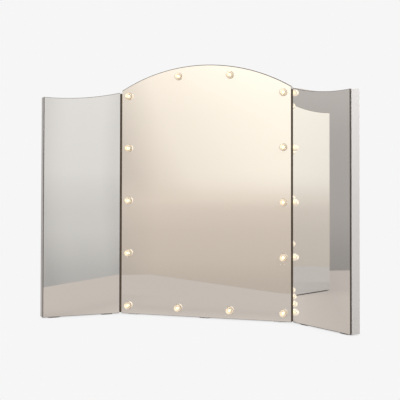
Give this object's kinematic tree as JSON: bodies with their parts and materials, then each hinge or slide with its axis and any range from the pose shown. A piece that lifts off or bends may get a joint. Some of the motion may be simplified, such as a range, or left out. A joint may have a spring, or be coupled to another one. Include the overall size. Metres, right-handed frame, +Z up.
{
  "type": "lighted folding vanity mirror",
  "caption": "Free-standing vanity mirror with an arched centre panel, clear lamp domes on its face and a folding wing mirror hinged at each side.",
  "frame": {"origin": "on the table under the middle foot of the centre panel, at half the panel's depth", "axes": "+X to the viewer's right along the centre panel, +Y away from the viewer, +Z up"},
  "size_m": [0.6786, 0.1338, 0.5419],
  "materials": {
    "mirror": "silvered, polished",
    "foam": "closed-cell foam, matte",
    "casing": "satin silver paint on moulded plastic",
    "cover": "fine moulded texture",
    "rubber_feet": "matte",
    "screws": "zinc plated",
    "hinge_metal": "dark bronze",
    "clear_dome": "clear, polished",
    "lamp": "warm white, lit",
    "white_plastic": "matte",
    "circuit_board": "solder resist",
    "wire": "insulated lead",
    "black_plastic": "matte",
    "contact_metal": "nickel plated",
    "cell": "printed sleeve, plain"
  },
  "bodies": {
    "centre": {"centre_mirror_glass": "mirror", "centre_foam_sheet": "foam", "centre_casing": "casing", "centre_back_cover": "cover", "centre_cover_screws": "screws", "centre_feet": "rubber_feet", "bulb_dome_1": "clear_dome", "bulb_dome_2": "clear_dome", "bulb_dome_3": "clear_dome", "bulb_dome_4": "clear_dome", "bulb_dome_5": "clear_dome", "bulb_dome_6": "clear_dome", "bulb_dome_7": "clear_dome", "bulb_dome_8": "clear_dome", "bulb_dome_9": "clear_dome", "bulb_dome_10": "clear_dome", "bulb_dome_11": "clear_dome", "bulb_dome_12": "clear_dome", "bulb_dome_13": "clear_dome", "bulb_dome_14": "clear_dome", "led_lamps": "lamp", "led_spacers": "white_plastic", "led_board_left": "circuit_board", "led_board_right": "circuit_board", "led_board_top": "circuit_board", "led_board_bottom": "circuit_board", "wiring_loom": "wire", "driver_board": "circuit_board", "switch_body": "black_plastic", "power_inlet": "contact_metal", "battery_tray": "cover", "battery_cell_1": "cell", "battery_cell_2": "cell", "battery_cell_3": "cell", "battery_cell_4": "cell", "battery_contacts": "contact_metal", "left_hinge_centre_leaf": "hinge_metal", "left_hinge_pin": "hinge_metal", "left_hinge_centre_screws": "screws", "right_hinge_centre_leaf": "hinge_metal", "right_hinge_pin": "hinge_metal", "right_hinge_centre_screws": "screws"},
    "left_wing": {"left_mirror_glass": "mirror", "left_foam_sheet": "foam", "left_casing": "casing", "left_back_cover": "cover", "left_cover_screws": "screws", "left_feet": "rubber_feet", "left_hinge_wing_leaf": "hinge_metal", "left_hinge_wing_screws": "screws"},
    "right_wing": {"right_mirror_glass": "mirror", "right_foam_sheet": "foam", "right_casing": "casing", "right_back_cover": "cover", "right_cover_screws": "screws", "right_feet": "rubber_feet", "right_hinge_wing_leaf": "hinge_metal", "right_hinge_wing_screws": "screws"},
    "battery_door": {"battery_door": "cover"},
    "switch_slider": {"switch_slider": "black_plastic"}
  },
  "joints": [
    {"name": "left_wing_hinge", "type": "hinge", "parent": "centre", "child": "left_wing", "pos_m": [-0.191, -0.01275, 0.002], "axis": [0, 0, -1], "range_deg": [-95, 39]},
    {"name": "right_wing_hinge", "type": "hinge", "parent": "centre", "child": "right_wing", "pos_m": [0.191, -0.01275, 0.002], "axis": [0, 0, 1], "range_deg": [-95, 39]},
    {"name": "battery_door_hinge", "type": "hinge", "parent": "centre", "child": "battery_door", "pos_m": [0, 0.01275, 0.0487], "axis": [-1, 0, 0], "range_deg": [0, 95]},
    {"name": "switch_slide", "type": "slide", "parent": "centre", "child": "switch_slider", "axis": [1, 0, 0], "range_m": [0, 0.004]}
  ]
}
